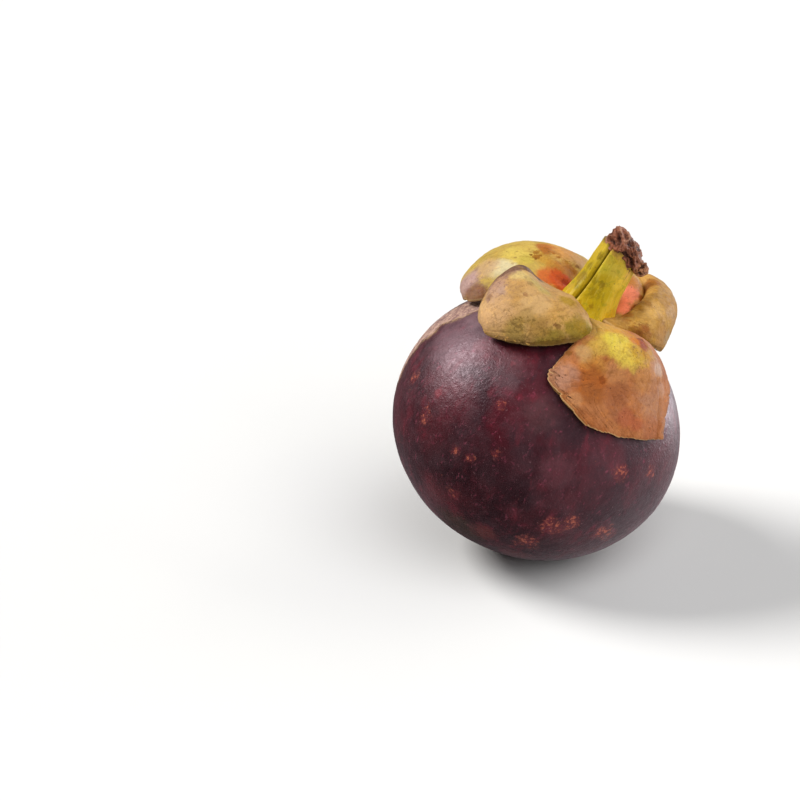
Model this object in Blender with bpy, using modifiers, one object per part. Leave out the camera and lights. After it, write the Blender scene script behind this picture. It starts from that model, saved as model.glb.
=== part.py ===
"""A whole mangosteen, as picked, resting on a small flat spot with its stem end leaning over.

Metres, +Z up. The origin is the centre of the flat spot that the fruit rests on. The pieces are the
fruit itself, the stem, the four sepals of the calyx round the stem, and the woody stigma rosette at
the far end. Each piece is shaped in the fruit's own frame, whose origin is the fruit's centre and
whose +Z runs up the stem, and is parented to one empty that leans the whole fruit over.
"""

import math

import bmesh
import bpy
import numpy as np
from mathutils import Euler, Vector

MM = 0.001
GAP = 0.3 * MM  # between any two pieces

# The fruit's body: a slightly flattened globe, hollowed at the stem and flatter round the stigma.
EQUATOR_RADIUS = 30.0 * MM
POLE_RADIUS = 27.1 * MM
STEM_HOLLOW_DEPTH = 1.0 * MM
STEM_HOLLOW_SPREAD = math.radians(15)
STIGMA_FLAT_DEPTH = 1.3 * MM
STIGMA_FLAT_SPREAD = math.radians(17)
LOBE_COUNT = 6  # one for each segment of flesh inside
LOBE_SWELL = 0.10 * MM
FRUIT_SEGMENTS = 56
FRUIT_RINGS = 36

# How it rests.
LEAN = math.radians(24.6)
LEAN_TOWARDS = math.radians(8.7)
SPIN = math.radians(-19)
FLAT_SPOT_RADIUS = 5.6 * MM

# The stem, a squarish stalk that flares at its foot and ends in a slanting break.
STEM_LENGTH = 17.2 * MM
STEM_WAIST_RADIUS = 4.75 * MM
STEM_HEAD_SWELL = 0.55 * MM
STEM_FOOT_SWELL = 2.15 * MM
STEM_FOOT_CURVE = 6
STEM_OFFSET = 2.6 * MM
STEM_LEAN = 3.4 * MM
STEM_CUT_SLOPE = 0.45
STEM_CAP_ANGLE = math.radians(25)
STEM_RIM_ROUNDING = 0.7
STEM_GROOVE_DEPTH = 0.9 * MM
STEM_GROOVE_WIDTH = math.radians(13)
STEM_GROOVES = tuple(math.radians(angle) for angle in (-127, -32, 58, 148))
STEM_SEGMENTS = 36
STEM_RINGS = 18

# The sepals.
SEPAL_THICKNESS = 2.0 * MM
SEPAL_EDGE_SHARE = 0.45
SEPAL_COLUMNS = 14
SEPAL_ROWS = 16

# The stigma rosette.
ROSETTE_RADIUS = 6.0 * MM
ROSETTE_THICKNESS = 0.7 * MM
ROSETTE_EDGE_SHARE = 0.7
ROSETTE_NOTCH = 0.26
ROSETTE_GRID = 18

# Each sepal is a cage of rows from its base to its tip. A row is (polar angles of its left edge,
# middle and right edge from the stem, azimuths of its left and right edge, and five heights above
# the skin from left to right). Left to right is anticlockwise about the stem, seen from above it.
# Degrees and millimetres.
SEPALS = {
    "sepal_front": (
        ((16, 15, 16), (-98, -50), (1.6, 1.6, 1.6, 1.6, 1.6)),
        ((28, 23, 22), (-94, -40), (1.6, 4.6, 5.2, 4.4, 1.6)),
        ((42, 36, 34), (-96, -12), (1.2, 3.0, 4.8, 4.4, 1.4)),
        ((57, 53, 47), (-107, -20), (1.2, 1.2, 1.6, 1.6, 1.1)),
        ((66, 64, 63), (-73, -33), (1.3, 1.1, 1.1, 1.1, 1.1)),
    ),
    "sepal_right": (
        ((16, 15, 15), (-42, 66), (1.8, 1.8, 1.8, 1.8, 1.8)),
        ((20, 16, 16), (-34, 80), (3.0, 7.0, 6.0, 10.0, 11.0)),
        ((26, 25, 22), (-10, 84), (1.8, 11.5, 7.5, 16.0, 14.0)),
        ((31, 33, 31), (6, 80), (1.4, 8.0, 10.0, 12.5, 10.0)),
        ((35, 37, 36), (17, 66), (1.5, 3.0, 4.0, 5.0, 4.0)),
    ),
    "sepal_back": (
        ((15, 15, 15), (76, 180), (1.8, 1.8, 1.8, 1.8, 1.8)),
        ((22, 20, 24), (84, 184), (4.0, 9.0, 9.0, 6.0, 1.8)),
        ((36, 34, 38), (94, 190), (4.5, 10.0, 11.2, 7.5, 1.4)),
        ((48, 48, 50), (106, 194), (2.0, 8.5, 10.0, 7.0, 1.2)),
        ((56, 60, 52), (126, 170), (1.2, 2.0, 2.6, 4.4, 5.0)),
    ),
    "sepal_left": (
        ((15, 15, 16), (-170, -108), (1.8, 1.8, 1.8, 1.8, 1.8)),
        ((23, 24, 28), (-166, -88), (5.0, 5.0, 4.6, 4.4, 3.4)),
        ((31, 35, 40), (-166, -99), (7.5, 10.6, 7.0, 4.8, 1.8)),
        ((40, 43, 48), (-164, -122), (6.0, 9.0, 7.0, 4.4, 1.3)),
        ((46, 49, 53), (-160, -142), (3.0, 3.4, 3.2, 2.4, 1.3)),
    ),
}

# Colour and roughness of each material.
FINISHES = {
    "skin": ((0.060, 0.014, 0.022, 1), 0.42),
    "sepal": ((0.400, 0.270, 0.090, 1), 0.60),
    "stem": ((0.380, 0.370, 0.060, 1), 0.55),
    "stigma": ((0.110, 0.045, 0.030, 1), 0.70),
}


def skin_radius(polar, azimuth):
    """The distance from the fruit's centre to its skin, at an angle from the stem and round it."""
    globe = 1 / np.hypot(np.sin(polar) / EQUATOR_RADIUS, np.cos(polar) / POLE_RADIUS)
    hollow = STEM_HOLLOW_DEPTH * np.exp(-((polar / STEM_HOLLOW_SPREAD) ** 2))
    flat = STIGMA_FLAT_DEPTH * np.exp(-(((math.pi - polar) / STIGMA_FLAT_SPREAD) ** 2))
    lobes = LOBE_SWELL * np.cos(LOBE_COUNT * azimuth) * np.sin(polar) ** 2
    return globe - hollow - flat + lobes


def towards(polar, azimuth):
    """The unit vector at an angle from the stem and round it, in the fruit's frame."""
    across = math.sin(polar)
    return Vector((across * math.cos(azimuth), across * math.sin(azimuth), math.cos(polar)))


def spline_shares(count, places, degree=3):
    """How much each of count control points counts at each place, 0 to 1, on a clamped B-spline."""
    inner = np.linspace(0, 1, count - degree + 1)
    knots = np.concatenate([np.zeros(degree), inner, np.ones(degree)])
    at = np.clip(places, 0, 1 - 1e-9)[:, None]
    shares = ((knots[:-1] <= at) & (at < knots[1:])).astype(float)
    for order in range(1, degree + 1):
        starts = knots[: -order - 1]
        ends = knots[order + 1 :]
        rise = np.where(knots[order:-1] > starts, knots[order:-1] - starts, 1)
        fall = np.where(ends > knots[1:-order], ends - knots[1:-order], 1)
        shares = (at - starts) / rise * shares[:, :-1] + (ends - at) / fall * shares[:, 1:]
    return shares


def sepal_cage(rows):
    """The control points of a sepal as one array: [row, column, (polar, azimuth, height)]."""
    cage = []
    for (left, middle, right), (azimuth_left, azimuth_right), heights in rows:
        polar = [left, (left + middle) / 2, middle, (middle + right) / 2, right]
        azimuth = np.linspace(azimuth_left, azimuth_right, len(heights))
        cage.append(np.stack([np.radians(polar), np.radians(azimuth), np.array(heights) * MM], 1))
    return np.array(cage)


def link(name, mesh, finish, holder):
    """Makes an object of the mesh, smooth, with its material, held by the holder."""
    piece = bpy.data.objects.new(name, mesh)
    bpy.data.collections["mangosteen"].objects.link(piece)
    piece.parent = holder
    mesh.materials.append(bpy.data.materials[finish])
    mesh.shade_smooth()
    return piece


def placed_sphere(name, segments, rings, place):
    """A UV sphere as a mesh, with each point moved to place(polar, azimuth)."""
    shape = bmesh.new()
    bmesh.ops.create_uvsphere(shape, u_segments=segments, v_segments=rings, radius=1)
    for point in shape.verts:
        polar = math.acos(max(-1, min(1, point.co.z)))
        point.co = place(polar, math.atan2(point.co.y, point.co.x))
    mesh = bpy.data.meshes.new(name)
    shape.to_mesh(mesh)
    shape.free()
    return mesh


def placed_sheet(name, columns, rows, place, finish, holder):
    """A grid as an object, with its points moved to place(x, y), -1 to 1 each way."""
    shape = bmesh.new()
    bmesh.ops.create_grid(shape, x_segments=columns, y_segments=rows, size=1)
    flat = np.array([point.co[:2] for point in shape.verts])
    for point, moved in zip(shape.verts, place(flat[:, 0], flat[:, 1])):
        point.co = moved
    mesh = bpy.data.meshes.new(name)
    shape.to_mesh(mesh)
    shape.free()
    return link(name, mesh, finish, holder), flat


def thicken(piece, flat, thickness, edge_share):
    """Makes a sheet solid, thick in the middle and thinning to edge_share of that at its edge."""
    middle = piece.vertex_groups.new(name="middle")
    for index, (x, y) in enumerate(flat):
        middle.add([index], math.sqrt((1 - x**4) * (1 - y**4)), "REPLACE")
    solid = piece.modifiers.new("thickness", "SOLIDIFY")
    solid.thickness = thickness
    solid.offset = 0
    solid.vertex_group = middle.name
    solid.thickness_vertex_group = edge_share


def make_materials():
    """One plain material for each finish."""
    for name, (colour, roughness) in FINISHES.items():
        material = bpy.data.materials.new(name)
        material.use_nodes = True
        shader = material.node_tree.nodes["Principled BSDF"]
        shader.inputs["Base Color"].default_value = colour
        shader.inputs["Roughness"].default_value = roughness
        shader.inputs["Metallic"].default_value = 0


def make_holder():
    """The empty at the fruit's centre that leans it over, at the height that the flat spot gives."""
    holder = bpy.data.objects.new("lean", None)
    bpy.data.collections["mangosteen"].objects.link(holder)
    turn = Euler((0, LEAN, LEAN_TOWARDS)).to_matrix() @ Euler((0, 0, SPIN)).to_matrix()
    holder.rotation_euler = turn.to_euler()
    reach = math.hypot(EQUATOR_RADIUS * math.sin(LEAN), POLE_RADIUS * math.cos(LEAN))
    flat_spot_depth = FLAT_SPOT_RADIUS**2 * reach / (2 * EQUATOR_RADIUS**2)
    oblateness = EQUATOR_RADIUS**2 - POLE_RADIUS**2
    shift = oblateness * math.sin(LEAN) * math.cos(LEAN) / reach
    holder.location = (
        -shift * math.cos(LEAN_TOWARDS),
        -shift * math.sin(LEAN_TOWARDS),
        reach - flat_spot_depth,
    )
    return holder, turn


def make_fruit(holder, turn):
    """The whole fruit, one solid, cut flat where it rests."""

    def skin_point(polar, azimuth):
        return towards(polar, azimuth) * skin_radius(polar, azimuth)

    mesh = placed_sphere("fruit", FRUIT_SEGMENTS, FRUIT_RINGS, skin_point)
    shape = bmesh.new()
    shape.from_mesh(mesh)
    cut = bmesh.ops.bisect_plane(
        shape,
        geom=shape.verts[:] + shape.edges[:] + shape.faces[:],
        plane_co=turn.inverted() @ -holder.location,
        plane_no=turn.inverted() @ Vector((0, 0, -1)),
        clear_outer=True,
    )
    rim = [item for item in cut["geom_cut"] if isinstance(item, bmesh.types.BMEdge)]
    bmesh.ops.edgeloop_fill(shape, edges=rim)
    bmesh.ops.recalc_face_normals(shape, faces=shape.faces)
    shape.to_mesh(mesh)
    shape.free()
    link("fruit", mesh, "skin", holder)


def stem_point(polar, azimuth):
    """A sphere's point moved to the stem: flat caps at its slanting broken head and at its foot."""
    rim = min(1, math.sin(polar) / math.sin(STEM_CAP_ANGLE)) ** STEM_RIM_ROUNDING
    along = (math.pi - STEM_CAP_ANGLE - polar) / (math.pi - 2 * STEM_CAP_ANGLE)
    along = max(0, min(1, along))
    flare = (1 - along) ** STEM_FOOT_CURVE
    radius = STEM_WAIST_RADIUS + STEM_FOOT_SWELL * flare + STEM_HEAD_SWELL * along**3
    for groove in STEM_GROOVES:
        off = math.remainder(azimuth - groove, 2 * math.pi) / STEM_GROOVE_WIDTH
        radius -= STEM_GROOVE_DEPTH * math.exp(-off * off)
    x = rim * radius * math.cos(azimuth)
    y = rim * radius * math.sin(azimuth)
    foot = skin_radius(0, 0) + 2 * GAP
    z = foot + along * (STEM_LENGTH - STEM_CUT_SLOPE * x)
    return Vector((x + STEM_LEAN * along - STEM_OFFSET * (1 - flare), y, z))


def make_stem(holder):
    """The stalk, grooved along its sides."""
    link("stem", placed_sphere("stem", STEM_SEGMENTS, STEM_RINGS, stem_point), "stem", holder)


def make_sepal(name, rows, holder):
    """One sepal: a leathery leaf over the fruit's shoulder, clear of the skin."""
    cage = sepal_cage(rows)
    least_height = SEPAL_THICKNESS * SEPAL_EDGE_SHARE / 2 + GAP

    def place(x, y):
        along = spline_shares(cage.shape[0], (y + 1) / 2)
        across = spline_shares(cage.shape[1], (x + 1) / 2)
        return [
            towards(polar, azimuth) * (skin_radius(polar, azimuth) + max(height, least_height))
            for polar, azimuth, height in np.einsum("pr,rck,pc->pk", along, cage, across)
        ]

    piece, flat = placed_sheet(name, SEPAL_COLUMNS, SEPAL_ROWS, place, "sepal", holder)
    thicken(piece, flat, SEPAL_THICKNESS, SEPAL_EDGE_SHARE)


def make_rosette(holder):
    """The stigma's remains: a thin woody disc of lobes on the end away from the stem."""
    height = ROSETTE_THICKNESS / 2 + GAP

    def place(x, y):
        disc_x = x * np.sqrt(1 - y * y / 2)
        disc_y = y * np.sqrt(1 - x * x / 2)
        azimuths = np.arctan2(disc_y, disc_x)
        notch = 1 - np.abs(np.sin(LOBE_COUNT / 2 * azimuths)) ** 0.35
        outline = ROSETTE_RADIUS * (1 - ROSETTE_NOTCH * notch)
        polars = math.pi - np.hypot(disc_x, disc_y) * outline / POLE_RADIUS
        return [
            towards(polar, azimuth) * (skin_radius(polar, azimuth) + height)
            for polar, azimuth in zip(polars, azimuths)
        ]

    piece, flat = placed_sheet("stigma_rosette", ROSETTE_GRID, ROSETTE_GRID, place, "stigma", holder)
    thicken(piece, flat, ROSETTE_THICKNESS, ROSETTE_EDGE_SHARE)


def main():
    for old in list(bpy.data.objects):
        bpy.data.objects.remove(old)
    bpy.context.scene.collection.children.link(bpy.data.collections.new("mangosteen"))
    make_materials()
    holder, turn = make_holder()
    make_fruit(holder, turn)
    make_stem(holder)
    for name, rows in SEPALS.items():
        make_sepal(name, rows, holder)
    make_rosette(holder)


main()
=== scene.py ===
"""The looks of a whole mangosteen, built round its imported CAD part.

Shapes are worked out in the fruit's own frame: millimetres, origin at the fruit's centre, +Z up its
stem. A place on the skin is a polar angle from the stem and an azimuth round it.
"""

import math

import bmesh
import bpy
import numpy as np
from mathutils import Euler, Matrix, Vector


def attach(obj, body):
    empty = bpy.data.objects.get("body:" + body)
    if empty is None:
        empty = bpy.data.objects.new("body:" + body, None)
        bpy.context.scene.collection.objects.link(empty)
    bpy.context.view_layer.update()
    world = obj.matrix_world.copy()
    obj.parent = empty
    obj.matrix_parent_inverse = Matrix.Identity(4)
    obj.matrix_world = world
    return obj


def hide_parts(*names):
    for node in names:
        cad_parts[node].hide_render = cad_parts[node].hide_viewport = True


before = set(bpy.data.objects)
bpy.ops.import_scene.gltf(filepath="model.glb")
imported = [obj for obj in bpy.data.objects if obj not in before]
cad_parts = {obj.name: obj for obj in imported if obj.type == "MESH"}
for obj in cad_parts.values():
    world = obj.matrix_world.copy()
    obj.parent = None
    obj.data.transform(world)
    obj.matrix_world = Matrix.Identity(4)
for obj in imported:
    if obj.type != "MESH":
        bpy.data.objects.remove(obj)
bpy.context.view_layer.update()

MM = 0.001

# The part's driving dimensions, in millimetres and radians.
EQUATOR_RADIUS = 30.0
POLE_RADIUS = 27.1
LEAN = math.radians(24.6)
LEAN_TOWARDS = math.radians(8.7)
SPIN = math.radians(-19)
FLAT_SPOT_RADIUS = 5.6

# Where the fruit's centre is, and how its frame is turned.
REACH = math.hypot(EQUATOR_RADIUS * math.sin(LEAN), POLE_RADIUS * math.cos(LEAN))
FLAT_SPOT_DEPTH = FLAT_SPOT_RADIUS**2 * REACH / (2 * EQUATOR_RADIUS**2)
SHIFT = (EQUATOR_RADIUS**2 - POLE_RADIUS**2) * math.sin(LEAN) * math.cos(LEAN) / REACH
CENTRE = np.array(
    (-SHIFT * math.cos(LEAN_TOWARDS), -SHIFT * math.sin(LEAN_TOWARDS), REACH - FLAT_SPOT_DEPTH)
)
TURN = Euler((0, LEAN, LEAN_TOWARDS)).to_matrix() @ Euler((0, 0, SPIN)).to_matrix()

TAU = 2 * math.pi


# ---------------------------------------------------------------- numbers


def smooth(low, high, value):
    """0 below low, 1 above high and a smooth step between. low may be the larger."""
    t = np.clip((value - low) / (high - low), 0, 1)
    return t * t * (3 - 2 * t)


def bump(centre, width, value):
    """A bell of height 1 at centre."""
    return np.exp(-(((value - centre) / width) ** 2))


def angle_between(first, second):
    """The shortest way round from second to first, in radians."""
    return (first - second + math.pi) % TAU - math.pi


def lattice_gradients(cells, seed):
    """A unit-like vector for each integer cell, always the same one for the same cell and seed."""
    x, y, z = (cells[..., k].astype(np.uint32) for k in range(3))
    mixed = x * np.uint32(73856093) ^ y * np.uint32(19349663) ^ z * np.uint32(83492791)
    mixed = (mixed ^ np.uint32(seed * 2654435761 % 2**32)) * np.uint32(2246822519)
    mixed ^= mixed >> np.uint32(15)
    table = np.random.default_rng(5).normal(size=(4096, 3))
    table /= np.linalg.norm(table, axis=1)[:, None]
    return table[mixed % np.uint32(4096)]


def noise(points, size, seed=0):
    """Smooth noise, about -1 to 1, with features of the given size."""
    scaled = points / size
    low = np.floor(scaled).astype(np.int64)
    part = scaled - low
    ease = part**3 * (part * (part * 6 - 15) + 10)
    total = np.zeros(len(points))
    for corner in np.ndindex(2, 2, 2):
        corner = np.array(corner)
        share = np.prod(np.where(corner == 1, ease, 1 - ease), axis=1)
        dots = np.sum(lattice_gradients(low + corner, seed) * (part - corner), axis=1)
        total += share * dots
    return total * 1.6


def layered_noise(points, size, octaves, seed=0, fall=0.5):
    """Noise with finer and weaker layers on it."""
    total = np.zeros(len(points))
    for octave in range(octaves):
        total += noise(points, size / 2**octave, seed + octave) * fall**octave
    return total


def spline_shares(count, places):
    """How much each of count evenly spaced points counts at each place, 0 to 1, on a cubic spline
    that goes through them all."""
    system, change = np.zeros((2, count, count))
    system[0, 0] = system[-1, -1] = 1
    for k in range(1, count - 1):
        system[k, k - 1 : k + 2] = 1, 4, 1
        change[k, k - 1 : k + 2] = 6, -12, 6
    bend = np.linalg.solve(system, change)
    at = np.clip(places, 0, 1) * (count - 1)
    low = np.minimum(at.astype(int), count - 2)
    past = (at - low)[:, None]
    left = 1 - past
    own = np.eye(count)
    straight = left * own[low] + past * own[low + 1]
    return straight + ((left**3 - left) * bend[low] + (past**3 - past) * bend[low + 1]) / 6


# ---------------------------------------------------------------- the fruit's frame


def directions(polar, azimuth):
    """Unit vectors at these angles from the stem and round it."""
    return np.stack(
        [np.sin(polar) * np.cos(azimuth), np.sin(polar) * np.sin(azimuth), np.cos(polar)], -1
    )


def skin_radius(polar, azimuth):
    """The distance from the fruit's centre to its skin, as in the part."""
    globe = 1 / np.hypot(np.sin(polar) / EQUATOR_RADIUS, np.cos(polar) / POLE_RADIUS)
    hollow = 1.0 * bump(0, math.radians(15), polar)
    flat = 1.3 * bump(math.pi, math.radians(17), polar)
    return globe - hollow - flat + 0.1 * np.cos(6 * azimuth) * np.sin(polar) ** 2


def to_row(points):
    """Fruit-frame millimetres to metres in the row frame, no lower than the floor."""
    placed = points @ np.array(TURN).T + CENTRE
    placed[:, 2] = np.maximum(placed[:, 2], 0)
    return placed * MM


# ---------------------------------------------------------------- meshes


def make_piece(name, points, faces, material, node, values=None):
    """A smooth mesh object in the row frame that rides on the part and stands for a CAD node."""
    mesh = bpy.data.meshes.new(name)
    mesh.from_pydata(to_row(points).tolist(), [], faces.tolist())
    for key, numbers in (values or {}).items():
        layer = mesh.attributes.new(key, "FLOAT", "POINT")
        layer.data.foreach_set("value", np.ascontiguousarray(numbers, np.float32))
    mesh.materials.append(material)
    mesh.shade_smooth()
    mesh.update()
    piece = bpy.data.objects.new(name, mesh)
    bpy.context.scene.collection.objects.link(piece)
    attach(piece, "root")
    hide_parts(node)
    return piece


def grid_faces(rows, columns, start=0, flip=False):
    """The quads of a rows x columns grid of points, numbered row by row from start."""
    number = np.arange(rows * columns).reshape(rows, columns) + start
    quads = np.stack([number[:-1, :-1], number[:-1, 1:], number[1:, 1:], number[1:, :-1]], -1)
    quads = quads.reshape(-1, 4)
    return quads[:, ::-1] if flip else quads


def grid_rim(rows, columns):
    """The numbers of a grid's border points, once round."""
    number = np.arange(rows * columns).reshape(rows, columns)
    return np.concatenate([number[0, :-1], number[:-1, -1], number[-1, :0:-1], number[:0:-1, 0]])


def grid_normals(points, rows, columns):
    """Unit normals of a grid surface, on the side from which its columns run round to its rows."""
    shaped = points.reshape(rows, columns, 3)
    along = np.gradient(shaped, axis=0)
    across = np.gradient(shaped, axis=1)
    normals = np.cross(along, across).reshape(-1, 3)
    return normals / np.maximum(np.linalg.norm(normals, axis=1), 1e-9)[:, None]


def thick_sheet(middle, rows, columns, thickness, rim_steps=5):
    """A closed sheet round a grid's middle surface, with a round edge.

    It gives the points, the faces, and for each point its grid point's number and its side: 1 on
    the top, -1 underneath and between them on the edge.
    """
    normals = grid_normals(middle, rows, columns)
    half = thickness[:, None] / 2
    rim = grid_rim(rows, columns)
    ahead = np.roll(middle[rim], -1, 0) - np.roll(middle[rim], 1, 0)
    outward = np.cross(normals[rim], ahead)
    outward /= np.maximum(np.linalg.norm(outward, axis=1), 1e-9)[:, None]
    points = [middle + normals * half, middle - normals * half]
    source = [np.arange(rows * columns)] * 2
    side = [np.ones(rows * columns), -np.ones(rows * columns)]
    count = rows * columns
    loops = [rim]
    for step in range(1, rim_steps):
        turn = math.pi * step / rim_steps
        loop = outward * math.sin(turn) + normals[rim] * math.cos(turn)
        points.append(middle[rim] + loop * half[rim])
        source.append(rim)
        side.append(np.full(len(rim), math.cos(turn)))
        loops.append(2 * count + (step - 1) * len(rim) + np.arange(len(rim)))
    loops.append(rim + count)
    faces = [grid_faces(rows, columns, flip=True), grid_faces(rows, columns, count)]
    for upper, lower in zip(loops, loops[1:]):
        faces.append(np.stack([upper, np.roll(upper, -1), np.roll(lower, -1), lower], -1))
    return (
        np.concatenate(points),
        np.concatenate(faces),
        np.concatenate(source),
        np.concatenate(side),
    )


# ---------------------------------------------------------------- materials


def shade(code):
    """A colour from its usual six-digit code, as the linear numbers that a node takes."""
    channels = [int(code[k : k + 2], 16) / 255 for k in (0, 2, 4)]
    linear = [c / 12.92 if c <= 0.04045 else ((c + 0.055) / 1.055) ** 2.4 for c in channels]
    return (*linear, 1)


class Look:
    """A material's node tree, with a short method for each kind of node that the looks use."""

    def __init__(self, name):
        self.material = bpy.data.materials.new(name)
        self.material.use_nodes = True
        self.tree = self.material.node_tree
        self.shader = self.tree.nodes["Principled BSDF"]
        coordinates = self.tree.nodes.new("ShaderNodeTexCoord").outputs["Object"]
        self.place = self.add(
            "ShaderNodeMapping",
            {
                "Vector": coordinates,
                "Location": CENTRE * MM,
                "Rotation": TURN.to_euler(),
                "Scale": (MM, MM, MM),
            },
            vector_type="TEXTURE",
        )
        self.wander = self.calc("SUBTRACT", self.noise(2.4, 4.0, 0.62, seed=41.0), 0.5)
        self.fine_wander = self.calc("SUBTRACT", self.noise(0.6, 4.0, 0.78, seed=47.0), 0.5)

    def add(self, kind, inputs, output=0, **settings):
        """A node with these settings and inputs, a socket or a value each. It gives an output."""
        node = self.tree.nodes.new(kind)
        for key, value in settings.items():
            setattr(node, key, value)
        for key, value in inputs.items():
            if isinstance(value, bpy.types.NodeSocket):
                self.tree.links.new(value, node.inputs[key])
            else:
                node.inputs[key].default_value = value
        return node.outputs[output]

    def value(self, name):
        return self.add("ShaderNodeAttribute", {}, "Fac", attribute_name=name)

    def calc(self, operation, first, second=0.0, third=0.0):
        inputs = {0: first, 1: second, 2: third}
        return self.add("ShaderNodeMath", inputs, operation=operation)

    def step(self, value, low, high, bottom=0.0, top=1.0):
        """A smooth step of value from bottom at low to top at high. low may be the larger."""
        inputs = {"Value": value, "From Min": low, "From Max": high, "To Min": bottom, "To Max": top}
        return self.add("ShaderNodeMapRange", inputs, interpolation_type="SMOOTHSTEP")

    def vector(self, x, y, z=0.0):
        return self.add("ShaderNodeCombineXYZ", {"X": x, "Y": y, "Z": z})

    def stretched(self, scale, vector=None):
        return self.add("ShaderNodeMapping", {"Vector": vector or self.place, "Scale": scale})

    def noise(self, size, detail=3.0, roughness=0.5, distortion=0.0, vector=None, seed=0.0):
        """Noise from 0 to 1 with features of the given size in millimetres."""
        inputs = {
            "Vector": vector or self.place,
            "W": seed,
            "Scale": 1 / size,
            "Detail": detail,
            "Roughness": roughness,
            "Distortion": distortion,
        }
        return self.add("ShaderNodeTexNoise", inputs, "Fac", noise_dimensions="4D")

    def cells(self, size, output="Distance", feature="F1", vector=None):
        inputs = {"Vector": vector or self.place, "Scale": 1 / size}
        return self.add("ShaderNodeTexVoronoi", inputs, output, feature=feature)

    def dots(self, spacing, radius, share, seed=0.0):
        """Small round marks, in about this share of cells of the given spacing."""
        moved = self.add("ShaderNodeVectorMath", {0: self.place, 1: (seed, seed, seed)})
        shape = {"Vector": moved, "Scale": 1 / spacing}
        node = self.tree.nodes.new("ShaderNodeTexVoronoi")
        self.tree.links.new(moved, node.inputs["Vector"])
        node.inputs["Scale"].default_value = shape["Scale"]
        inside = self.step(node.outputs["Distance"], radius / spacing, 0.6 * radius / spacing)
        chosen = self.calc("LESS_THAN", self.add("ShaderNodeSeparateColor", {0: node.outputs["Color"]}), share)
        return self.calc("MULTIPLY", inside, chosen)

    def spot(self, point, size, soft=0.5, ragged=1.0):
        """A blotch of the given radius round a point, with a wandering edge, in millimetres."""
        away = self.add(
            "ShaderNodeVectorMath", {0: self.place, 1: tuple(point)}, "Value", operation="DISTANCE"
        )
        wander = self.wander if size > 1.0 else self.fine_wander
        away = self.calc("MULTIPLY_ADD", wander, 2.4 * ragged * math.sqrt(size), away)
        return self.step(away, size * (1 + soft / 2), size * (1 - soft / 2))

    def mix(self, factor, first, second, blend="MIX"):
        inputs = {0: factor, 6: first, 7: second}
        return self.add("ShaderNodeMix", inputs, 2, data_type="RGBA", blend_type=blend)

    def paint(self, colour, mask, strength, code, blend="MIX"):
        """The colour with another laid over it where the mask is 1."""
        return self.mix(self.calc("MULTIPLY", mask, strength), colour, shade(code), blend)

    def relief(self, height, depth, strength=1.0, under=None):
        """A bump in which a height of 1 stands for depth millimetres."""
        inputs = {"Height": height, "Distance": depth * MM, "Strength": strength}
        if under:
            inputs["Normal"] = under
        return self.add("ShaderNodeBump", inputs)

    def finish(self, colour, roughness, normal, **constants):
        for key, socket in {"Base Color": colour, "Roughness": roughness, "Normal": normal}.items():
            self.tree.links.new(socket, self.shader.inputs[key])
        for key, number in constants.items():
            self.shader.inputs[key.replace("_", " ")].default_value = number
        return self.material


# ---------------------------------------------------------------- the fruit's skin

GLOBE_STEPS = 124
SKIN_SINK = 0.10

# The scar's inner edge, as the azimuth that it has at each polar angle, in degrees.
SCAR_POLAR = (40, 52, 57, 66, 81, 93, 112)
SCAR_AZIMUTH = (-160, -163, -165, -168, -169, -169, -172)

# Blotches in the skin, a few of them painted sheen and painted shadow: polar angle, azimuth, radius in
# millimetres, colour and strength.
SKIN_BLOTCHES = (
    # Partly waxy bloom and partly painted sheen: the broad lilac-grey patch on the upper left.
    (60, -149, 7.0, "765a62", 0.50),
    (50, -155, 3.0, "84666c", 0.55),
    (64, -112, 2.4, "5a3c42", 0.35),
    (56, -135, 2.2, "77454a", 0.45),
    (65, -104, 0.7, "6e1c2a", 0.45),
    (55, -116, 0.5, "7d2a34", 0.45),
    (82, -135, 0.9, "84262f", 0.60),
    (96, -128, 5.0, "561a20", 0.40),
    (84, -77, 3.4, "64333a", 0.45),
    (92, -96, 5.0, "3a1a20", 0.50),
    (84, -58, 4.0, "331a20", 0.40),
    (135, -106, 5.0, "3e2e18", 0.60),
    (128, -92, 2.6, "6b2a22", 0.60),
    (137, -66, 3.0, "5b1f20", 0.55),
    (118, -120, 3.6, "5e2024", 0.40),
    # Painted shadow: these two dark patches on the lower left stand in for a neighbouring fruit's shade.
    (97, -110, 7.0, "1c0a10", 0.45),
    (107, -119, 5.0, "1c0a10", 0.40),
    (88, -38, 7.0, "2a1016", 0.45),
    (80, -127, 4.5, "6a1e28", 0.28),
    # Painted sheen: two grey-brown patches stand in for gloss near the sepals' edges.
    (67, -93, 3.5, "5c3a3a", 0.30),
    (58, -116, 3.5, "6a5054", 0.25),
)

# Clusters of copper dots: polar angle, azimuth and radius in millimetres.
COPPER_CLUSTERS = (
    (107, -68, 2.0),
    (102, -62, 1.6),
    (104, -44, 1.9),
    (106, -39, 1.5),
    (121, -72, 2.0),
    (77, -52, 1.4),
    (76, -34, 1.2),
    (87, -154, 1.3),
    (93, -135, 1.5),
    (71, -109, 0.8),
    (96, -116, 0.9),
    (95, -109, 0.8),
    (88, -101, 0.8),
    (114, -110, 1.2),
    (100, 20, 2.0),
    (88, 75, 1.8),
    (112, 120, 2.2),
    (80, 150, 1.6),
)


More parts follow.
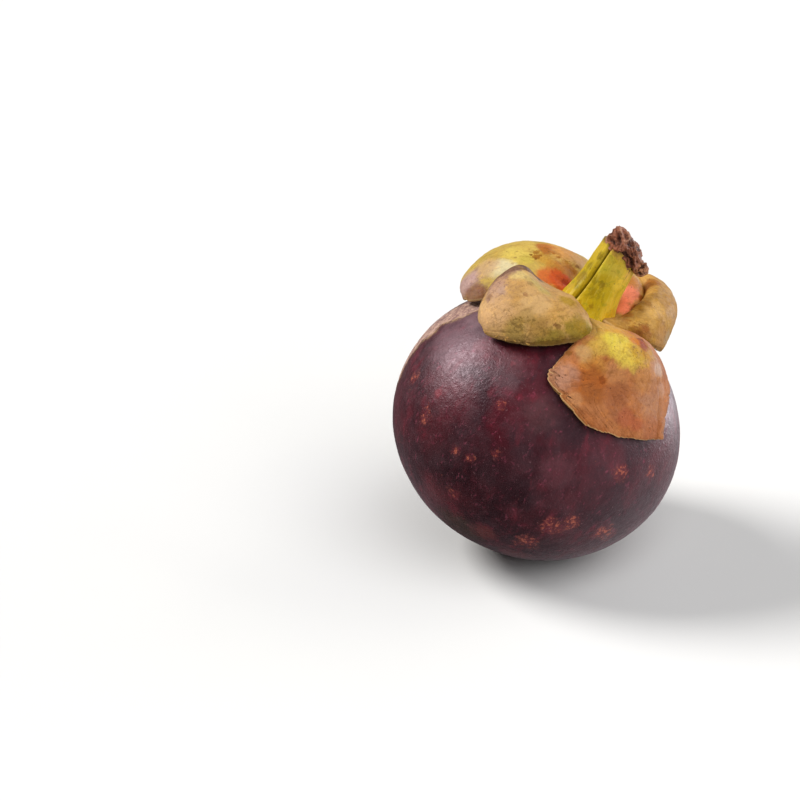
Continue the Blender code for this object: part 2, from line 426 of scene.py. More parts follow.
def quad_globe(steps):
    """Directions and faces of a cube's grid blown up to a ball, of nearly even quads."""
    shape = bmesh.new()
    bmesh.ops.create_cube(shape, size=2)
    bmesh.ops.subdivide_edges(shape, edges=shape.edges, cuts=steps - 1, use_grid_fill=True)
    cube = bpy.data.meshes.new("cube")
    shape.to_mesh(cube)
    shape.free()
    corners = np.empty(len(cube.vertices) * 3, np.float32)
    cube.vertices.foreach_get("co", corners)
    faces = np.empty(len(cube.loops), np.int32)
    cube.loops.foreach_get("vertex_index", faces)
    bpy.data.meshes.remove(cube)
    warped = np.tan(corners.reshape(-1, 3).astype(float) * math.pi / 4)
    return warped / np.linalg.norm(warped, axis=1)[:, None], faces.reshape(-1, 4)


def skin_point(polar, azimuth):
    """The point of the part's skin at these angles, in degrees."""
    polar, azimuth = math.radians(polar), math.radians(azimuth)
    return directions(polar, azimuth) * skin_radius(polar, azimuth)


def skin_relief(skin, polar, azimuth):
    """How far the rind stands above the part's skin, in millimetres."""
    height = -SKIN_SINK + 0.09 * noise(skin, 15, 3) + 0.05 * noise(skin, 6, 4)
    height += 0.022 * noise(skin, 2.4, 5) + 0.018 * noise(skin, 1.2, 7)
    away = np.linalg.norm(skin - skin_point(70, -129), axis=1)
    arcs = np.sin(polar * 30 * 3.6 + 2.2 * noise(skin, 5, 12)) * noise(skin, 4, 13)
    height += 0.035 * smooth(9, 3, away) * arcs
    return height


def make_fruit():
    """The rind: a waxy, leathery globe with a russet scar down one side."""
    ways, faces = quad_globe(GLOBE_STEPS)
    polar = np.arccos(np.clip(ways[:, 2], -1, 1))
    azimuth = np.arctan2(ways[:, 1], ways[:, 0])
    skin = ways * skin_radius(polar, azimuth)[:, None]
    height = skin_relief(skin, polar, azimuth)

    edge = np.radians(np.interp(np.degrees(polar), SCAR_POLAR, SCAR_AZIMUTH))
    past = angle_between(edge, azimuth) + 0.045 * layered_noise(skin, 5, 3, 17)
    drift = 0.10 * noise(skin, 12, 6) + 0.06 * layered_noise(skin, 4, 3, 9)
    reach = smooth(math.radians(36), math.radians(50), polar + drift)
    reach *= smooth(math.radians(114), math.radians(90), polar + drift)
    scar = smooth(0, 0.025, past) * smooth(0.80, 0.25, past + 2 * drift) * reach
    lip = reach * bump(0.012, 0.022, past)
    height += 0.14 * lip - 0.10 * scar
    height += scar * 0.05 * layered_noise(skin, 2.4, 2, 23)
    left_side = bump(math.radians(84), 0.6, polar) * bump(0, 0.5, angle_between(azimuth, math.pi))
    height -= 0.35 * left_side
    points = skin + ways * height[:, None]
    return make_piece("rind", points, faces, skin_look(), "fruit", {"scar": scar, "lip": lip})


def skin_look():
    look = Look("rind")
    broad = look.noise(12, 2.0, 0.55, 0.4)
    streaky = look.noise(3.4, 5.0, 0.62, 0.5, vector=look.stretched((1, 1, 0.5)), seed=3.0)
    flecks = look.noise(1.0, 4.0, 0.68, 0.3, vector=look.stretched((1, 1, 0.6)), seed=7.0)
    colour = look.mix(look.step(broad, 0.36, 0.66), shade("290811"), shade("460d17"))
    colour = look.paint(colour, look.step(streaky, 0.50, 0.72), 0.55, "6e1526")
    colour = look.paint(colour, look.step(streaky, 0.46, 0.30), 0.55, "1f0a12")
    # Some of these patches are painted sheen and painted shadow, as marked in the table.
    for polar, azimuth, size, code, strength in SKIN_BLOTCHES:
        mask = look.spot(skin_point(polar, azimuth), size, 0.9, 1.2)
        colour = look.paint(colour, mask, strength, code)
    colour = look.paint(colour, look.step(flecks, 0.56, 0.72), 0.55, "86344a")
    colour = look.paint(colour, look.step(flecks, 0.44, 0.30), 0.45, "281318")
    bloom = look.step(look.noise(7, 4.0, 0.6, 0.5, seed=9.0), 0.42, 0.70)
    colour = look.paint(colour, bloom, 0.06, "8a757c")

    near = look.calc("ADD", 0.0, 0.0)
    for polar, azimuth, size in COPPER_CLUSTERS:
        near = look.calc("MAXIMUM", near, look.spot(skin_point(polar, azimuth), size, 1.2, 2.0))
    crumbs = look.step(look.noise(0.8, 4.0, 0.72, seed=13.0), 0.52, 0.60)
    colour = look.paint(colour, near, 0.45, "6a2024")
    colour = look.paint(colour, look.calc("MULTIPLY", near, crumbs), 0.80, "a8563c")
    stray = look.calc("MULTIPLY", look.step(look.noise(9, 2.0, seed=15.0), 0.50, 0.62), 1.0)
    small = look.calc("MULTIPLY", look.dots(1.7, 0.15, 0.4, 3.1), stray)
    colour = look.paint(colour, small, 0.7, "a45a3c")
    scuffs = look.noise(0.5, 4.0, 0.75, 0.8, vector=look.stretched((1, 0.4, 1)), seed=37.0)
    colour = look.paint(colour, look.step(scuffs, 0.62, 0.70), 0.50, "9a6f74")
    colour = look.paint(colour, look.step(scuffs, 0.38, 0.30), 0.50, "17060a")

    scar = look.value("scar")
    crumbly = look.noise(1.3, 5.0, 0.7, 1.5, seed=19.0)
    scar_colour = look.mix(look.step(crumbly, 0.35, 0.65), shade("93716a"), shade("c4a28a"))
    russet = look.mix(look.step(crumbly, 0.35, 0.65), shade("6a4a46"), shade("94715c"))
    scar_colour = look.mix(look.step(scar, 0.98, 0.70), scar_colour, russet)
    ragged = look.step(look.calc("MULTIPLY_ADD", crumbly, 0.9, scar), 0.85, 1.10)
    scar_mask = look.calc("MULTIPLY", ragged, look.step(crumbly, 0.34, 0.58, 0.55, 1.0))
    scar_mask = look.calc("MULTIPLY", scar_mask, look.step(scar, 0.3, 0.9, 0.6, 1.0))
    colour = look.mix(look.calc("MULTIPLY", scar_mask, 0.9), colour, scar_colour)
    lip = look.calc("MULTIPLY", look.value("lip"), look.step(crumbly, 0.40, 0.56))
    colour = look.paint(colour, lip, 0.75, "a5875c")

    dull = look.noise(0.9, 5.0, 0.68, seed=23.0)
    roughness = look.step(dull, 0.32, 0.68, 0.34, 0.52)
    roughness = look.calc("MAXIMUM", roughness, look.calc("MULTIPLY", scar_mask, 0.75))
    leather = look.relief(look.noise(0.66, 4.0, 0.60, 0.35, seed=29.0), 0.105, 0.8)
    pores = look.relief(look.cells(0.42), 0.035, 0.5, leather)
    scratches = look.noise(0.35, 3.0, 0.6, 1.5, vector=look.stretched((1, 0.35, 1)), seed=31.0)
    normal = look.relief(look.step(scratches, 0.5, 0.62), 0.015, 0.5, pores)
    return look.finish(
        colour,
        roughness,
        normal,
        Specular_IOR_Level=0.6,
        Specular_Tint=shade("f6dce8"),
        Sheen_Weight=0.14,
        Sheen_Roughness=0.4,
        Sheen_Tint=shade("e8c8d4"),
    )


# ---------------------------------------------------------------- the sepals

# A sepal is lofted through rows, evenly spaced from its base to its tip. A row is (polar angles of
# its left edge, middle and right edge; azimuths of its left and right edge; heights above the skin
# from left to right), in degrees and millimetres. Left is the side of the smaller azimuth.
SEPALS = {
    "sepal_front": (
        ((14, 14, 14), (-98, -50), (0.4, 0.4, 0.4, 0.4, 0.4)),
        ((22, 18, 18), (-89, -35), (0.8, 1.2, 1.4, 1.2, 0.6)),
        ((31, 27, 25), (-92, -19), (2.0, 3.3, 3.9, 3.3, 1.8)),
        ((40, 38, 36), (-97, -17), (1.2, 3.0, 4.3, 3.8, 1.6)),
        ((49, 47, 45), (-98.5, -18.5), (1.0, 1.6, 2.4, 2.2, 1.2)),
        ((54, 56, 55), (-97, -29), (1.0, 1.1, 1.3, 1.3, 1.1)),
        ((65, 64, 63), (-73, -32), (1.2, 1.0, 1.0, 1.0, 1.0)),
    ),
    "sepal_right": (
        ((11, 10, 10), (-60, 80), (1.2, 1.2, 1.2, 1.2, 1.2, 1.2, 1.2)),
        ((17, 14, 14), (-40, 80), (1.6, 3.0, 4.4, 5.2, 5.6, 5.6, 4.8)),
        ((22, 20, 19), (-24, 82), (1.8, 4.2, 6.6, 8.2, 8.8, 8.6, 7.6)),
        ((26, 26, 24), (-9, 80), (1.8, 4.4, 7.4, 9.4, 10.2, 9.8, 8.2)),
        ((30, 31, 29), (3, 76), (1.8, 4.0, 6.5, 8.8, 10.2, 9.6, 7.6)),
        ((34, 35, 36), (16, 64), (1.6, 2.4, 3.4, 4.4, 5.0, 4.6, 4.0)),
    ),
    "sepal_back": (
        ((13, 13, 13), (76, 180), (1.8, 1.8, 1.8, 1.8, 1.8)),
        ((20, 18, 20), (82, 184), (3.0, 5.8, 6.0, 4.4, 1.8)),
        ((29, 27, 31), (88, 190), (3.9, 7.2, 7.9, 6.0, 1.5)),
        ((39, 37, 41), (97, 193), (3.8, 7.9, 8.7, 6.2, 1.2)),
        ((47, 47, 49), (108, 191), (2.6, 6.6, 7.4, 5.2, 1.2)),
        ((56, 58, 54), (126, 182), (1.2, 1.8, 2.6, 3.2, 1.2)),
    ),
    "sepal_left": (
        ((13, 13, 14), (-170, -105), (1.5, 1.5, 1.5, 1.5, 1.5)),
        ((20, 19, 24), (-164, -90), (2.2, 3.0, 3.8, 3.9, 2.8)),
        ((27, 27, 32), (-160, -91), (4.9, 5.1, 5.0, 4.6, 2.3)),
        ((33, 34, 39), (-156, -103), (7.9, 8.1, 7.0, 4.7, 1.8)),
        ((40, 42, 45), (-153, -114), (6.9, 7.3, 6.2, 4.1, 1.5)),
        ((47, 49, 50), (-148, -126), (4.6, 5.0, 4.6, 3.4, 1.5)),
        ((52, 52, 53), (-144, -137), (2.4, 2.4, 2.2, 2.0, 1.5)),
    ),
}

SEPAL_ROWS = 172
SEPAL_COLUMNS = 156
SEPAL_HALF_WIDTH = 10.0
SEPAL_LENGTH = 24.0
SEPAL_THICKNESS = 2.0
SEPAL_EDGES = {"sepal_front": 0.5, "sepal_right": 1.0, "sepal_back": 0.9, "sepal_left": 0.8}

# Tears in the margin: side of the sepal, place along it, and how far in they go.
TEARS = {
    "sepal_front": ((-1, 0.67, 0.06), (-1, 0.745, 0.12), (-1, 0.80, 0.07), (-1, 0.885, 0.18),
                    (-1, 0.95, 0.05), (1, 0.70, 0.07), (1, 0.84, 0.05)),
    "sepal_left": ((1, 0.74, 0.04), (1, 0.86, 0.05)),
    "sepal_back": ((1, 0.70, 0.03),),
    "sepal_right": ((-1, 0.55, 0.03),),
}


def sepal_middle(rows, across, along):
    """Points of a sepal's middle surface: across is -1 to 1, and along is 0 to 1, base to tip."""
    cage = []
    for polar, azimuth, heights in rows:
        ticks = np.linspace(0, 1, len(heights))
        polar = np.interp(ticks, (0, 0.5, 1), np.radians(polar))
        cage.append(np.stack([polar, np.interp(ticks, (0, 1), np.radians(azimuth)), heights], 1))
    cage = np.array(cage)
    row_shares = spline_shares(cage.shape[0], along)
    column_shares = spline_shares(cage.shape[1], (across + 1) / 2)
    polar, azimuth, height = np.einsum("pr,rck,pc->kp", row_shares, cage, column_shares)
    return directions(polar, azimuth) * (skin_radius(polar, azimuth) + height)[:, None]


def worn_margin(name, across, along):
    """The same places with the sepal's outline drawn in by scallops, nicks and tears."""
    near_side = smooth(0.55, 1, np.abs(across))
    near_tip = smooth(0.8, 1, along)
    edge = np.stack([along * 22, np.sign(across) * 7, np.full(len(along), len(name))], 1)
    nibble = 0.018 + 0.022 * noise(edge, 2.2, 51) + 0.012 * noise(edge, 0.7, 52)
    for side, place, depth in TEARS[name]:
        nibble += depth * np.exp(-np.abs(along - place) / 0.008) * (np.sign(across) == side)
    tip = np.stack([across * 9, np.zeros(len(across)), np.full(len(along), len(name))], 1)
    tip_nibble = 0.010 + 0.010 * noise(tip, 2.0, 53) + 0.006 * noise(tip, 0.6, 54)
    return across * (1 - nibble * near_side), along * (1 - tip_nibble * near_tip)


def apart(across, along, at):
    """Distance over the leaf, about in millimetres, from the place at."""
    return np.hypot((across - at[0]) * SEPAL_HALF_WIDTH, (along - at[1]) * SEPAL_LENGTH)


def front_relief(across, along):
    x, y = (across + 0.38) * SEPAL_HALF_WIDTH, (along - 0.62) * SEPAL_LENGTH
    out, way = np.hypot(x, y), np.arctan2(y, x)
    rays = noise(np.stack([np.cos(way) * 5, np.sin(way) * 5, out * 0.12], 1), 0.75, 61)
    lift = -0.35 * bump(0, 2.6, out) + 0.15 * rays * smooth(0.5, 4, out) * smooth(11, 5, out)
    crease = across - 0.40 - 0.40 * smooth(0.5, 0.9, along) - 0.05 * noise(np.stack([along * 22, along * 0, along * 0], 1), 4, 62)
    on_strip = smooth(0.42, 0.54, along)
    lift += on_strip * (0.20 * smooth(0, 0.05, crease) - 0.28 * bump(-0.01, 0.028, crease))
    lift += 0.45 * smooth(0.92, 1, along) * bump(-0.8, 0.4, across)
    lift += 0.35 * smooth(-0.9, -1, across) * smooth(0.6, 0.75, along)
    folds = noise(np.stack([across * 7, along * 5, along * 0], 1), 1.0, 63)
    return lift + 0.16 * folds * smooth(0.60, 0.35, along)


def left_relief(across, along):
    knob = 0.6 * bump(0, 2.0, apart(across, along, (-0.90, 0.46)))
    hollow = -0.5 * bump(0, 2.2, apart(across, along, (-0.35, 0.30)))
    roll = 0.45 * smooth(-0.88, -1, across) * smooth(0.6, 0.3, along)
    groove = -0.55 * bump(-0.80, 0.055, across) * smooth(0.68, 0.56, along) * smooth(0.15, 0.3, along)
    lip = -0.35 * bump(0.93, 0.05, across) * smooth(0.2, 0.5, along)
    ribs = 0.06 * np.sin(across * 30 + 3 * np.sin(along * 7)) * smooth(0.3, 0.9, across)
    return knob + hollow + roll + groove + lip + ribs


def back_relief(across, along):
    puckers = 0.12 * np.sin(across * 13 + 1.5) * smooth(0.6, 0.15, along)
    return puckers - 0.4 * bump(0, 2.5, apart(across, along, (0.55, 0.80)))


def right_relief(across, along):
    valley = across + 0.30 - 1.6 * along
    wide = np.where(valley < 0, 0.12, 0.26)
    deep = smooth(0.0, 0.12, along) * smooth(0.66, 0.40, along)
    folds = noise(np.stack([across * 9, along * 20, along * 0], 1), 1.6, 64)
    crinkles = 0.20 * folds * bump(-0.45, 0.35, valley) * smooth(0.05, 0.2, along)
    return crinkles - 3.2 * deep * np.exp(-((valley / wide) ** 2))


RELIEFS = {
    "sepal_front": front_relief,
    "sepal_right": right_relief,
    "sepal_back": back_relief,
    "sepal_left": left_relief,
}


def make_sepal(name):
    """A leathery sepal: a closed sheet, fleshy at its base and thin at its worn margin."""
    rows = SEPALS[name]
    along, across = np.meshgrid(
        np.linspace(0, 1, SEPAL_ROWS), np.linspace(-1, 1, SEPAL_COLUMNS), indexing="ij"
    )
    along, across = along.ravel(), across.ravel()
    middle = sepal_middle(rows, *worn_margin(name, across, along))
    inside = (1 - across**6) * (1 - along**8)
    edge = SEPAL_EDGES[name]
    thickness = edge + (SEPAL_THICKNESS - edge) * np.sqrt(inside)
    lift = RELIEFS[name](across, along) + 0.16 * noise(middle, 5, 31)
    lift += 0.05 * noise(middle, 2, 33) + 0.05 * layered_noise(middle, 1.0, 3, 37)
    normals = grid_normals(middle, SEPAL_ROWS, SEPAL_COLUMNS)
    middle = middle + normals * lift[:, None]
    points, faces, source, side = thick_sheet(middle, SEPAL_ROWS, SEPAL_COLUMNS, thickness)
    values = {"across": across[source], "along": along[source], "side": side}
    piece = name.split("_")[1] + "_sepal"
    return make_piece(piece, points, faces, sepal_look(name), name, values)


# A sepal's two ground colours, and its blotches, one of them a painted highlight: across, along,
# radius in millimetres, colour and strength.
SEPAL_COLOURS = {
    "sepal_front": (
        ("ab6d42", "96582f"),
        (
            (0.30, 0.50, 4.0, "a97a5a", 0.85),
            (0.28, 0.66, 3.4, "a06c4a", 0.80),
            (0.45, 0.52, 1.5, "b89c8c", 0.75),
            # Painted highlight on the raised strip beside the fold.
            (0.56, 0.64, 1.5, "ae8672", 0.70),
            (0.52, 0.76, 3.2, "a07052", 0.80),
            (0.14, 0.57, 2.6, "ad7440", 0.80),
            (-0.25, 0.57, 2.6, "b0774a", 0.80),
            (-0.57, 0.54, 2.6, "b27a36", 0.80),
            (-0.50, 0.30, 3.4, "bd9136", 0.90),
            (-0.18, 0.31, 3.0, "b8883c", 0.85),
            (0.05, 0.34, 2.4, "ab7436", 0.85),
            (-0.34, 0.39, 3.7, "c2ad3e", 0.95),
            (-0.14, 0.455, 3.0, "c9ae45", 0.92),
            (0.06, 0.44, 2.6, "bc962e", 0.85),
            (-0.62, 0.43, 2.4, "b2903f", 0.80),
            (0.26, 0.42, 2.2, "a0741e", 0.85),
            (0.24, 0.43, 2.0, "b07a1c", 0.70),
            (0.21, 0.38, 1.5, "843200", 1.00),
            (0.27, 0.35, 0.7, "6c2400", 0.80),
            (-0.40, 0.15, 3.2, "b8934c", 0.85),
            (0.20, 0.17, 2.8, "b58a48", 0.75),
            (-0.85, 0.28, 2.0, "a98442", 0.70),
            (0.02, 0.43, 1.2, "ae8426", 0.80),
            (0.06, 0.365, 1.2, "b4691a", 0.90),
            (-0.84, 0.40, 0.9, "8a6020", 0.50),
            (-0.75, 0.49, 1.8, "ab8656", 0.80),
            (-0.95, 0.51, 0.8, "6a4212", 0.70),
            (-0.52, 0.67, 3.2, "945122", 0.90),
            (-0.39, 0.78, 2.2, "8e5329", 0.75),
            (-0.01, 0.81, 2.2, "945a3b", 0.60),
            (-0.38, 0.63, 0.8, "743812", 0.70),
            (-0.84, 0.72, 3.0, "a27660", 0.80),
            (-0.75, 0.89, 1.6, "b27c52", 0.70),
            (-0.12, 0.71, 2.4, "8e5331", 0.80),
            (0.16, 0.85, 2.0, "a65a3c", 0.70),
            (0.33, 0.88, 1.6, "a45638", 0.65),
            (0.62, 0.92, 2.6, "9c6040", 0.75),
        ),
    ),
    "sepal_right": (
        ("ac823e", "9f7435"),
        (
            (-0.30, 0.35, 2.2, "c89c58", 0.85),
            (-0.55, 0.32, 2.2, "c2964e", 0.80),
            (-0.70, 0.24, 2.2, "b88c42", 0.80),
            (-0.82, 0.36, 1.3, "8e571e", 0.80),
            (-0.92, 0.42, 1.5, "8a5d1e", 0.70),
            (0.14, 0.50, 2.4, "9f7636", 0.80),
            (-0.34, 0.60, 2.4, "a47c4c", 0.80),
            (-0.80, 0.66, 2.6, "a87c4a", 0.80),
            (0.60, 0.52, 3.0, "bb8e4b", 0.90),
            (0.40, 0.50, 1.7, "8a541c", 0.90),
            (0.60, 0.30, 2.6, "a8692f", 0.85),
            (0.46, 0.17, 2.4, "ee8864", 0.95),
            (0.42, 0.22, 1.9, "d27658", 0.95),
            (0.24, 0.10, 2.2, "f0825c", 0.95),
            (0.56, 0.08, 1.6, "d98a58", 0.80),
            (0.27, 0.28, 1.2, "8a4b10", 0.95),
            (0.36, 0.38, 1.4, "85490e", 0.95),
            (0.12, 0.17, 1.2, "8e4a0a", 0.90),
            (-0.40, 0.12, 1.2, "905413", 0.80),
            (-0.94, 0.29, 1.2, "7c4e0a", 0.85),
            (-0.94, 0.36, 1.0, "6a3a0a", 0.85),
            (-0.77, 0.36, 0.9, "945822", 0.85),
            (-0.87, 0.45, 0.8, "9c6834", 0.75),
            (-0.68, 0.14, 1.0, "9a682a", 0.80),
            (-0.23, 0.22, 0.9, "9e6e26", 0.80),
            (-0.14, 0.29, 1.1, "906224", 0.85),
            (-0.05, 0.46, 1.1, "9c7436", 0.80),
            (0.03, 0.37, 1.0, "90682a", 0.80),
            (0.38, 0.47, 1.2, "744412", 0.90),
            (0.34, 0.42, 1.0, "68360a", 0.90),
            (-0.70, 0.74, 1.5, "a48862", 0.80),
            (-0.32, 0.54, 1.3, "a88456", 0.75),
            (-0.63, 0.51, 1.2, "a67a42", 0.75),
            (-0.41, 0.33, 1.2, "cca05a", 0.80),
        ),
    ),
    "sepal_back": (
        ("b99d4e", "b0944a"),
        (
            (0.47, 0.50, 3.0, "c4ac52", 0.85),
            (0.23, 0.47, 3.0, "ba9d4b", 0.80),
            (0.69, 0.56, 2.6, "c8bb96", 0.85),
            (0.62, 0.69, 3.0, "b5936c", 0.80),
            (0.76, 0.90, 3.6, "ab8b8c", 0.85),
            (0.96, 0.80, 2.8, "6e4236", 0.90),
            (0.98, 0.70, 1.6, "6a3826", 0.80),
            (0.57, 0.41, 1.6, "b49f44", 0.80),
            (0.45, 0.33, 2.2, "b0832e", 0.85),
            (0.04, 0.35, 3.0, "bf8444", 0.85),
            (0.15, 0.42, 1.9, "a65e28", 0.90),
            (0.26, 0.37, 1.4, "965618", 0.90),
            (0.48, 0.375, 0.7, "84500f", 0.85),
            (0.38, 0.40, 0.7, "8e5c16", 0.80),
            (-0.08, 0.27, 3.0, "b0804c", 0.80),
            (0.55, 0.23, 2.2, "ab762c", 0.80),
            (0.41, 0.16, 2.4, "9f601f", 0.85),
            (0.80, 0.25, 2.2, "c0622c", 0.95),
            (0.80, 0.13, 2.4, "b84a1c", 0.95),
            (0.66, 0.12, 1.4, "a84016", 0.80),
            (0.69, 0.18, 1.4, "b04a20", 0.80),
            (0.69, 0.10, 0.8, "862608", 0.70),
            (0.47, 0.41, 0.35, "6e4208", 0.95),
            (0.53, 0.37, 0.3, "7c4a10", 0.90),
            (0.43, 0.36, 0.3, "84500e", 0.90),
            (0.12, 0.44, 0.8, "a4642a", 0.80),
            (0.18, 0.40, 0.4, "8e5216", 0.80),
            (0.24, 0.33, 0.4, "8e5214", 0.85),
            (0.25, 0.29, 0.35, "8a5010", 0.85),
            (0.06, 0.18, 0.45, "70420c", 0.85),
            (0.23, 0.23, 0.5, "96641e", 0.80),
            (0.30, 0.16, 1.2, "90581a", 0.70),
            (0.56, 0.66, 0.4, "94704e", 0.60),
            (0.62, 0.64, 0.3, "9c7e60", 0.55),
            (0.65, 0.49, 0.35, "967a4e", 0.55),
            (-0.60, 0.60, 5.0, "a8824a", 0.60),
        ),
    ),
    "sepal_left": (
        ("ba925c", "ab834d"),
        (
            (0.47, 0.42, 3.0, "b58a49", 0.80),
            (0.20, 0.52, 3.0, "c49e6a", 0.80),
            (0.00, 0.76, 3.4, "be966a", 0.80),
            (0.82, 0.34, 2.6, "96792a", 0.90),
            (0.93, 0.28, 2.2, "988428", 0.85),
            (0.92, 0.56, 2.6, "8c782a", 0.85),
            (0.66, 0.56, 2.2, "9b763b", 0.75),
            (0.64, 0.72, 2.4, "8e743a", 0.80),
            (0.40, 0.60, 1.6, "8f7238", 0.50),
            (-0.20, 0.42, 2.4, "ac9550", 0.80),
            (-0.45, 0.47, 2.0, "b09654", 0.80),
            (-0.60, 0.53, 1.8, "c4ab6e", 0.85),
            (-0.80, 0.52, 1.0, "86645a", 0.80),
            (-0.95, 0.46, 1.5, "604034", 0.90),
            (-0.98, 0.36, 2.2, "5c4022", 0.95),
            (-0.80, 0.58, 1.6, "866353", 0.80),
            (-0.50, 0.70, 2.2, "b08c74", 0.75),
            (-0.72, 0.66, 1.9, "a8826a", 0.75),
            (-0.44, 0.77, 0.5, "84605a", 0.60),
            (-0.62, 0.60, 0.5, "86645c", 0.55),
            (-0.25, 0.88, 2.6, "c8a070", 0.80),
            (0.70, 0.45, 0.5, "74502a", 0.80),
            (0.64, 0.46, 0.4, "6e4826", 0.80),
            (-0.02, 0.56, 0.5, "8a6044", 0.60),
            (-0.25, 0.50, 0.7, "886c3a", 0.60),
            (-0.38, 0.67, 0.9, "a68674", 0.70),
            (-0.50, 0.75, 0.7, "8c684e", 0.65),
            (-0.02, 0.87, 1.8, "cb9f6e", 0.80),
            (0.87, 0.48, 1.8, "8a722c", 0.80),
            (0.82, 0.37, 1.7, "8c7428", 0.80),
            (0.78, 0.29, 1.8, "90701e", 0.85),
            (1.00, 0.27, 1.4, "786004", 0.90),
            (0.24, 0.26, 1.8, "9a7a20", 0.80),
            (0.47, 0.45, 1.2, "be9150", 0.70),
        ),
    ),
}


# Zones of fine dark speckles on the sepals: across, along, radius in millimetres, colour and strength.
SPECKLED_ZONES = {
    "sepal_front": (
        (0.05, 0.46, 3.0, "7a5a18", 0.60),
        (-0.45, 0.50, 3.0, "7a4c1c", 0.45),
        (0.40, 0.80, 5.0, "7c4426", 0.40),
    ),
    "sepal_right": ((-0.85, 0.34, 3.0, "744010", 0.70), (0.10, 0.45, 4.0, "7a5424", 0.45)),
    "sepal_back": (
        (0.30, 0.37, 3.2, "84561c", 0.60),
        (0.85, 0.78, 4.0, "7c5a54", 0.50),
        (0.30, 0.16, 2.4, "8a5414", 0.55),
    ),
    "sepal_left": (
        (0.38, 0.72, 3.2, "5e4420", 0.58),
        (0.75, 0.60, 3.4, "5a431a", 0.50),
        (-0.55, 0.66, 3.6, "7c5c50", 0.60),
        (0.60, 0.38, 3.0, "7a6224", 0.50),
    ),
}

# Bands along the margins, of worn colour, and on the left sepal's lower margin partly painted shade:
# side of the sepal, where across it they start, colour and strength.
MARGIN_BANDS = {
    # The left sepal's lower band is partly its own olive-brown and partly painted shade where it lies on the
    # skin.
    "sepal_left": ((1, 0.78, "5c4218", 0.85), (-1, 0.68, "543a30", 0.90)),
    "sepal_back": ((1, 0.80, "94704c", 0.40),),
    "sepal_right": ((-1, 0.86, "8a5c1e", 0.50),),
    "sepal_front": ((-1, 0.88, "7c4c1c", 0.35), (1, 0.84, "946848", 0.50)),
}


def sepal_place(name, across, along):
    """The point of a sepal's upper surface at these places across it and along it."""
    across, along = 0.98 * across, max(along, 0.02)
    at = np.array([(across, along), (across - 0.01, along), (across, along - 0.01)])
    here, aside, before = sepal_middle(SEPALS[name], *at.T)
    up = np.cross(here - before, here - aside)
    lift = SEPAL_THICKNESS / 2 + RELIEFS[name](at[:1, 0], at[:1, 1])[0]
    return here + up / np.linalg.norm(up) * lift


def sepal_look(name):
    look = Look(name)
    across, along, side = look.value("across"), look.value("along"), look.value("side")
    leaf = look.vector(
        look.calc("MULTIPLY", across, SEPAL_HALF_WIDTH), look.calc("MULTIPLY", along, SEPAL_LENGTH)
    )
    (light, dark), blotches = SEPAL_COLOURS[name]
    colour = look.mix(look.step(look.noise(5, 4.0, 0.6), 0.38, 0.62), shade(light), shade(dark))
    for u, v, size, code, strength in blotches:
        soft = 0.8 if size > 0.8 else 0.4
        colour = look.paint(colour, look.spot(sepal_place(name, u, v), size, soft), strength, code)

    speckles = look.step(look.noise(0.7, 4.0, 0.75, 0.5, seed=53.0), 0.50, 0.60)
    for u, v, size, code, strength in SPECKLED_ZONES[name]:
        zone = look.calc("MULTIPLY", look.spot(sepal_place(name, u, v), size, 1.2), speckles)
        colour = look.paint(colour, zone, strength, code)
    # Margin bands; the left sepal's lower band is partly painted shade.
    for facing, start, code, strength in MARGIN_BANDS[name]:
        edgeward = look.calc("MULTIPLY_ADD", across, facing, look.calc("MULTIPLY", look.fine_wander, 0.5))
        margin = look.calc("MULTIPLY", look.step(edgeward, start, 1.0), look.step(along, 0.2, 0.45))
        colour = look.paint(colour, margin, strength, code)

    mottle = look.noise(1.5, 5.0, 0.66, 0.6, seed=3.0)
    colour = look.paint(colour, look.step(mottle, 0.50, 0.68), 0.40, "e8d4ae", "SOFT_LIGHT")
    colour = look.paint(colour, look.step(mottle, 0.44, 0.30), 0.26, "8a5c38", "MULTIPLY")
    grime = look.noise(2.6, 6.0, 0.72, 1.0, seed=27.0)
    colour = look.paint(colour, look.step(grime, 0.52, 0.68), 0.28, "76502c", "MULTIPLY")
    colour = look.paint(colour, look.step(grime, 0.42, 0.32), 0.30, "f0dcae", "SOFT_LIGHT")
    fibres = look.noise(0.7, 4.0, 0.6, 0.4, vector=look.stretched((1, 0.14, 1), leaf), seed=5.0)
    colour = look.paint(colour, look.step(fibres, 0.52, 0.66), 0.20, "8b5a30", "MULTIPLY")
    grain = look.noise(0.5, 4.0, 0.75, 0.4, seed=43.0)
    colour = look.paint(colour, look.step(grain, 0.54, 0.68), 0.28, "7c5228", "MULTIPLY")
    colour = look.paint(colour, look.step(grain, 0.46, 0.32), 0.40, "fff0c8", "SOFT_LIGHT")
    where = look.step(look.noise(4.5, 2.0, seed=17.0), 0.46, 0.60)
    freckles = look.calc("MULTIPLY", look.dots(0.9, 0.17, 0.45, 2.3), where)
    colour = look.paint(colour, freckles, 0.75, "51301c")
    stains = look.calc("MULTIPLY", look.dots(2.6, 0.42, 0.30, 6.1), where)
    colour = look.paint(colour, stains, 0.5, "6c4526")
    underneath = look.step(side, 0.2, -0.6)
    colour = look.paint(colour, underneath, 0.75, "7c5f34")
    cut = look.calc("MULTIPLY", look.step(side, 0.95, 0.6), look.step(side, -0.5, 0.1))
    pale_edge = 0.15 if name == "sepal_left" else 0.50
    colour = look.paint(colour, cut, pale_edge, "cfae78")

    roughness = look.step(mottle, 0.3, 0.7, 0.48, 0.66)
    skin = look.relief(look.noise(0.9, 6.0, 0.68, 0.5, seed=11.0), 0.26, 0.8)
    veins = look.relief(fibres, 0.10, 0.5, skin)
    normal = look.relief(look.cells(0.33), 0.03, 0.5, veins)
    return look.finish(colour, roughness, normal, Specular_IOR_Level=0.13)


